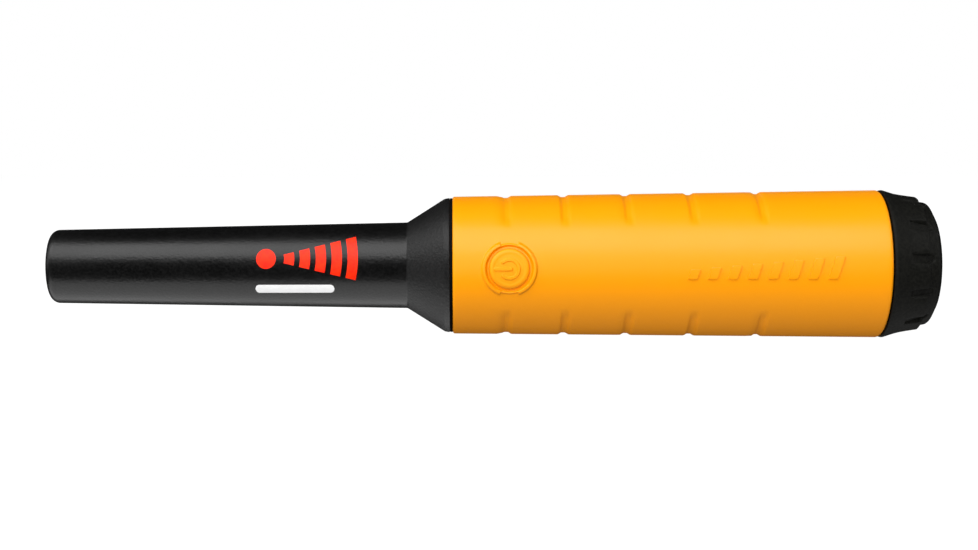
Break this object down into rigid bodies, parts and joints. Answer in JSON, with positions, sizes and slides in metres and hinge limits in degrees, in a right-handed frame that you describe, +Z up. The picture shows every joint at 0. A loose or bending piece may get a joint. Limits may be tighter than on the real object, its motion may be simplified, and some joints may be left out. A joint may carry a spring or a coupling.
{
  "type": "pinpointer metal detector probe",
  "caption": "Handheld metal-detecting pinpointer: tapered probe with a flared collar, grooved tubular grip with a round power button, and a threaded battery cap.",
  "frame": {"origin": "middle of the part's box in plan, at the level of the lowest point of the cap's rim, on which the grip lies", "axes": "+X along the probe's axis from the tip to the end cap, -Y the button's side, +Z up"},
  "size_m": [0.237, 0.0398, 0.0398],
  "materials": {
    "black_plastic": "satin, fine grain",
    "cap_plastic": "matt, fine grain",
    "grip_orange": "satin",
    "button_orange": "matt",
    "black_rubber": "matt",
    "grey_foam": "matt",
    "grey_plastic": "satin",
    "component_black": "satin",
    "board_green": "gloss",
    "steel": "bright",
    "brass": "bright",
    "copper": "enamelled",
    "ferrite": "matt",
    "battery_metal": "satin",
    "wire_red": "satin",
    "wire_black": "satin"
  },
  "bodies": {
    "body": {"probe_housing": "black_plastic", "collar_gasket": "black_rubber", "grip_shell": "grip_orange", "switch_body": "component_black", "switch_dome": "steel", "circuit_board": "board_green", "microcontroller": "component_black", "signal_amplifier": "component_black", "tuning_capacitor": "wire_red", "supply_capacitor": "grey_plastic", "buzzer": "component_black", "board_tray": "grey_plastic", "board_screw_1": "steel", "board_screw_2": "steel", "board_screw_3": "steel", "board_screw_4": "steel", "motor_bracket": "grey_plastic", "motor_can": "steel", "tip_cushion": "grey_foam", "ferrite_rod": "ferrite", "coil_former": "grey_plastic", "transmit_winding": "copper", "receive_winding": "copper", "coil_collar": "grey_foam", "coil_lead_1": "copper", "coil_lead_2": "copper", "battery_tub": "grey_plastic", "contact_plate": "black_rubber", "contact_socket": "steel", "contact_stud": "steel", "battery_case": "battery_metal", "battery_terminal_positive": "steel", "battery_terminal_negative": "steel", "battery_lead_positive": "wire_red", "battery_lead_negative": "wire_black"},
    "button": {"power_button": "button_orange", "button_plunger": "grey_plastic", "switch_stem": "grey_plastic"},
    "motor_rotor": {"motor_shaft": "steel", "motor_weight": "brass"},
    "cap_seal": {"cap_o_ring": "black_rubber"},
    "cap": {"end_cap": "cap_plastic", "battery_pad": "grey_foam"}
  },
  "joints": [
    {"name": "button_press", "type": "slide", "parent": "body", "child": "button", "axis": [0, 1, 0], "range_m": [0, 0.0006], "stiffness_N_per_m": 400, "springref_m": -0.003},
    {"name": "motor_spin", "type": "hinge", "parent": "body", "child": "motor_rotor", "pos_m": [0.0365, 0.0024, 0.0134], "axis": [1, 0, 0], "continuous": true},
    {"name": "cap_travel", "type": "slide", "parent": "body", "child": "cap_seal", "axis": [1, 0, 0], "range_m": [0, 0.006]},
    {"name": "cap_turn", "type": "hinge", "parent": "cap_seal", "child": "cap", "pos_m": [0.105, 0, 0.0199], "axis": [1, 0, 0], "range_deg": [0, 720]}
  ],
  "couplings": [
    {"joint": "cap_travel", "follows": "cap_turn", "m_per_rad": 0.00047746}
  ]
}
